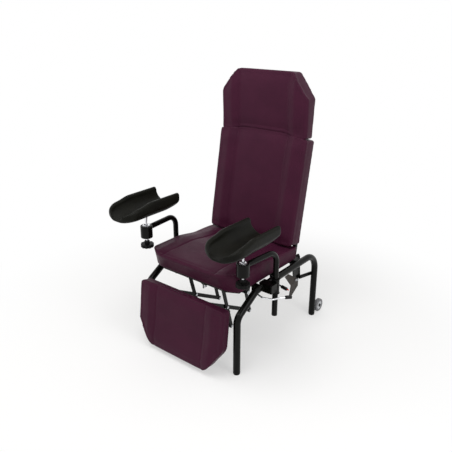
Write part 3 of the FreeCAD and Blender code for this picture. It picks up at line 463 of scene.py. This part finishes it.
def evened(values, pairs, rounds):
    count = numpy.bincount(pairs.ravel(), minlength=len(values))
    for turn in range(rounds):
        total = values.copy()
        numpy.add.at(total, pairs[:, 0], values[pairs[:, 1]])
        numpy.add.at(total, pairs[:, 1], values[pairs[:, 0]])
        values = total / (count + 1)
    return values


def simulate(piece, behind, form, outward):
    # Pressure from inside, with the face towards the board held still.
    held_from = max(place.dot(behind) for place in form) - draw_in
    held = piece.vertex_groups.new(name="held")
    on_board = [spot for spot, place in enumerate(form) if place.dot(behind) > held_from]
    held.add(on_board, 1.0, "REPLACE")
    for point, place, normal in zip(piece.data.vertices, form, outward):
        if place.dot(behind) <= held_from:
            point.co = place - normal * draw_in
    cloth = piece.modifiers.new("cover", "CLOTH")
    cloth.settings.use_pressure = True
    cloth.settings.uniform_pressure_force = cloth_pressure
    cloth.settings.quality = 3
    cloth.settings.vertex_group_mass = "held"
    cloth.settings.effector_weights.gravity = 0.0
    cloth.point_cache.frame_start = 1
    cloth.point_cache.frame_end = cloth_steps
    for step in range(1, cloth_steps + 1):
        bpy.context.scene.frame_set(step)
    made = settle(piece)
    bpy.context.scene.frame_set(1)
    return made


def most_swell(normal, behind, along):
    facing, ending = abs(normal.dot(behind)), abs(normal.dot(along))
    most = swell_side + (swell_face - swell_side) * facing
    return most + (swell_end - most) * ending ** 2


def blow_up(pad, behind, along, room):
    piece = bpy.data.objects.new(pad.name + "_cover", pad.data.copy())
    bpy.context.scene.collection.objects.link(piece)
    wrap(piece, cloth_net)
    form = [point.co.copy() for point in piece.data.vertices]
    outward = [point.normal.copy() for point in piece.data.vertices]
    made = simulate(piece, behind, form, outward)
    swell = []
    for point, place, normal in zip(made.vertices, form, outward):
        rise = max((point.co - place).dot(normal), 0.0)
        swell.append(min(rise, most_swell(normal, behind, along) * room(place)))
    pairs = numpy.array([edge.vertices[:] for edge in made.edges])
    swell = evened(numpy.array(swell), pairs, even_rounds)
    nearest = KDTree(len(form))
    for spot, place in enumerate(form):
        nearest.insert(place, spot)
    nearest.balance()
    grown = []
    for point in pad.data.vertices:
        found = nearest.find_n(point.co, neighbours)
        weights = [1.0 / (too_near + distance) for place, spot, distance in found]
        rises = [weight * swell[spot] for weight, (place, spot, distance) in zip(weights, found)]
        grown.append(sum(rises) / sum(weights))
    normals = [point.normal.copy() for point in pad.data.vertices]
    for point, normal, value in zip(pad.data.vertices, normals, grown):
        point.co += normal * float(value)
    bpy.data.objects.remove(piece)
    print(pad.name, "swells by up to", round(1000 * max(grown), 1), "mm")


# %% [markdown]
# ## From solid to pad
# The solids have edges as round as a thumb. On the real cushions the cover is cut and sewn
# closer than that, so the rounded edges of the face are filled out first: a point that looks
# half forwards and half sideways is pushed out the furthest. At the end the cover is creased
# in two thin lines, where the side bolsters meet the middle panel.

# %% Shape one pad
pad_net = 0.006
edge_fill = 0.006
crease_deep = 0.0022
crease_run = 0.010
face_looks = 0.7


def crease(piece, behind, panel_half):
    normals = [point.normal.copy() for point in piece.data.vertices]
    for point, normal in zip(piece.data.vertices, normals):
        near = 1.0 - abs(abs(point.co.x) - panel_half) / crease_run
        if near > 0.0 and normal.dot(behind) < -face_looks:
            point.co += behind * (crease_deep * near * near)


def make_pad(node, name, body, lean, panel_half, fill_out, room):
    behind = Vector((0, math.cos(math.radians(lean)), -math.sin(math.radians(lean))))
    along = behind.cross(Vector((1, 0, 0)))
    pad = skin_of(node, name, pad_net)
    normals = [point.normal.copy() for point in pad.data.vertices]
    for point, normal in zip(pad.data.vertices, normals):
        forwards = min(max(-normal.dot(behind), 0.0), 1.0)
        sideways = math.sqrt(1.0 - forwards * forwards)
        point.co += normal * (edge_fill * 2 * forwards * sideways) + fill_out(point.co)
    blow_up(pad, behind, along, room)
    smooth_skin(pad, vinyl)
    crease(pad, behind, panel_half)
    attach(pad, body)
    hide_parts(node)


# %% [markdown]
# ## Seat
# The seat lies flat, so what is behind its cover is below it. Its foam is built up towards
# the front, so that the sitter does not slide off, and the front leans out over the board,
# the more so in the middle: seen from above, its front corners are cut off. The foam swells
# less at the rear, where the back comes down on it.

# %% Make the seat
seat_low = 0.4075
seat_top = 0.480
seat_flat = 90.0
seat_front_y = -0.297
seat_rise = 0.020
seat_flat_until = -0.12
seat_rise_ends = 0.045
seat_lean_middle = 0.034
seat_lean_side = 0.014
seat_panel = 0.165
seat_half = 0.271
seat_wider = 0.005
seat_lean_from = seat_front_y + 0.02
seat_lean_ends = seat_front_y + 0.13
seat_room_from = 0.03
seat_room_ends = 0.14
seat_held_down = 0.85


def fill_seat(place):
    high = share_of(place.z, seat_low, seat_top)
    forward = 1.0 - share_of(place.y, seat_flat_until, seat_rise_ends)
    ahead = 1.0 - share_of(place.y, seat_lean_from, seat_lean_ends)
    beside = share_of(abs(place.x), seat_panel, seat_half)
    lean_out = seat_lean_middle + (seat_lean_side - seat_lean_middle) * beside
    wider = seat_wider * place.x / seat_half
    return Vector((wider, -lean_out * high * ahead, seat_rise * high * forward))


def seat_room(place):
    return 1.0 - seat_held_down * share_of(place.y, seat_room_from, seat_room_ends)


make_pad("seat_pad", "seat_cushion", "frame", seat_flat, seat_panel, fill_seat, seat_room)

# %% [markdown]
# ## Back
# The back's lower edge is filled until it meets the seat, and more so at its sides, where the
# solid is cut rounder. Its upper edge is filled a little, to close the line to the headrest.

# %% Make the back
meeting_fill = 0.0025
back_lean = 10.2
back_panel = 0.158
back_low_z, back_low_ends = 0.475, 0.56
back_high_z, back_high_ends = 0.99, 1.03
back_fill_middle = 0.001
back_fill_more = 0.009
back_side_from, back_side_ends = 0.10, 0.26


def fill_back(place):
    low = 1.0 - share_of(place.z, back_low_z, back_low_ends)
    beside = share_of(abs(place.x), back_side_from, back_side_ends)
    high = share_of(place.z, back_high_z, back_high_ends)
    lower = low * (back_fill_middle + back_fill_more * beside)
    return Vector((0, 0, meeting_fill * high - lower))


def full_room(place):
    return 1.0


make_pad("back_pad", "back_cushion", "back", back_lean, back_panel, fill_back, full_room)

# %% [markdown]
# ## Headrest
# The headrest is a wedge: its foam is deepest at the top, so that the head is held a little
# forward. It is carried by the back on two flat stays, so it rides the back.

# %% Make the headrest
head_lean = 3.9
head_panel = 0.152
head_wedge = 0.022
head_wedge_z, head_wedge_ends = 1.04, 1.33
head_front_y, head_rear_y = 0.275, 0.335
head_low_z, head_low_ends = 1.03, 1.07


def fill_head(place):
    high = share_of(place.z, head_wedge_z, head_wedge_ends)
    ahead = 1.0 - share_of(place.y, head_front_y, head_rear_y)
    low = 1.0 - share_of(place.z, head_low_z, head_low_ends)
    return Vector((0, -head_wedge * high * ahead, -meeting_fill * low))


make_pad("head_pad", "head_cushion", "back", head_lean, head_panel, fill_head, full_room)

# %% [markdown]
# ## Legrest
# The legrest hangs in front of the seat on its link bars. It is filled out towards its lower
# end, where the calves press on it, and stays clear of the floor.

# %% Make the legrest
legrest_lean = 6.6
legrest_panel = 0.158
legrest_half = 0.267
legrest_wider = 0.004
legrest_deeper = 0.014
legrest_longer = 0.008
legrest_low_z, legrest_low_ends = 0.035, 0.20
legrest_front_y, legrest_rear_y = -0.395, -0.345


def fill_legrest(place):
    low = 1.0 - share_of(place.z, legrest_low_z, legrest_low_ends)
    ahead = 1.0 - share_of(place.y, legrest_front_y, legrest_rear_y)
    wider = legrest_wider * place.x / legrest_half
    return Vector((wider, -legrest_deeper * low * ahead, -legrest_longer * low))


make_pad(
    "legrest_pad", "legrest_cushion", "legrest", legrest_lean, legrest_panel, fill_legrest, full_room
)

# %% [markdown]
# ## Moulded gutters
# The arm gutters are moulded in foam that makes its own thick skin, so nothing on them is
# sharp: the rim is as round as a finger, the floor runs into the sides and the nose is blunt
# and full. Each skin is drawn as a row of rings from the elbow end to the nose. A ring is a
# bowl inside, a round rim and a full belly outside; its width closes at the nose like a thumb
# and its rim falls there.

# %% Draw one ring of a gutter
gutter_x = 0.305979
gutter_y = -0.29293
gutter_z = 0.649
gutter_half = 0.095
gutter_back = 0.151
gutter_nose = 0.187
gutter_nose_run = 0.092
gutter_high = 0.086
gutter_lip = 0.0725
gutter_lip_tip = 0.039
gutter_floor = 0.021
gutter_chin = 0.006
gutter_tail_rise = 0.013
gutter_tail_run = 0.090
gutter_wall = 0.27
gutter_flat = 0.36
gutter_fall_from = 0.030
gutter_fall_ends = 0.110
gutter_nose_power = 2.9
gutter_belly = 0.3
bowl_steps = 14
rim_steps = 9
belly_steps = 10


def gutter_ring(behind):
    fall = share_of(-behind, gutter_fall_from, gutter_fall_ends)
    nose = max((gutter_nose_run - gutter_nose - behind) / gutter_nose_run, 0.0)
    tail = max((behind + gutter_tail_run - gutter_back) / gutter_tail_run, 0.0)
    half = gutter_half * (1.0 - nose ** gutter_nose_power) ** (1 / gutter_nose_power)
    lip = gutter_lip - (gutter_lip - gutter_lip_tip) * nose ** 2
    rim = gutter_high + (lip - gutter_high) * fall
    base = gutter_chin * nose ** 2 + gutter_tail_rise * tail ** 2
    floor = gutter_floor - 0.5 * gutter_chin * nose ** 3
    inner = half * (1 - gutter_wall)
    flat_half = half * gutter_flat
    rim_r = half * gutter_wall / 2
    shoulder, cheek = rim - rim_r, base + 0.5 * (rim - base)
    ring = []
    for step in range(bowl_steps + 1):
        turn = math.pi / 2 * step / bowl_steps
        ring.append((inner * math.sin(turn), shoulder - (shoulder - floor) * math.cos(turn)))
    for step in range(1, rim_steps + 1):
        turn = math.pi * step / rim_steps
        ring.append((inner + rim_r - rim_r * math.cos(turn), shoulder + rim_r * math.sin(turn)))
    for step in range(belly_steps + 1):
        turn = math.pi / 2 * step / belly_steps
        full = 1.0 + gutter_belly * math.sin(2 * turn)
        out = flat_half + (half - flat_half) * math.cos(turn)
        ring.append((out, base + (cheek - base) * (1 - math.sin(turn)) * full))
    ring.append((0.0, base))
    return ring + [(-x, z) for x, z in ring[-2:0:-1]]


# %% [markdown]
# ## From rings to skins
# The rings are joined into one closed mesh, closer together towards the nose. It is wrapped
# in a fine net and evened out a few times, which rounds the elbow end as well.

# %% Make the gutter skins
gutter_net = 0.004
gutter_even_rounds = 6
ring_count = 60
nose_crowding = 1.6
right_raised = 0.026


def ring_place(step):
    left = (1 - step / ring_count) ** nose_crowding
    return gutter_back - (gutter_back + gutter_nose) * (1 - left)


def ring_faces(around):
    faces = []
    for first in range(0, (ring_count - 1) * around, around):
        for spot in range(around):
            after = (spot + 1) % around
            next_ring = first + around
            faces.append((first + spot, first + after, next_ring + after, next_ring + spot))
    last = ring_count * around - 1
    return faces + [tuple(range(around)), tuple(range(last, last - around, -1))]


rows = [ring_place(step) for step in range(ring_count)]
rings = [gutter_ring(row) for row in rows]
for side, hand, raised in (("left", 1, 0.0), ("right", -1, right_raised)):
    corners = [
        (hand * (gutter_x + x), gutter_y + row, gutter_z + raised + z)
        for row, ring in zip(rows, rings)
        for x, z in ring
    ]
    moulded = bpy.data.meshes.new("moulded_gutter_" + side)
    moulded.from_pydata(corners, [], ring_faces(len(rings[0])))
    gutter_piece = bpy.data.objects.new("gutter_skin_" + side, moulded)
    bpy.context.scene.collection.objects.link(gutter_piece)
    wrap(gutter_piece, gutter_net)
    smooth_skin(gutter_piece, gutter_skin, gutter_even_rounds)
    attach(gutter_piece, "rest_" + side)
    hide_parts("gutter_" + side)
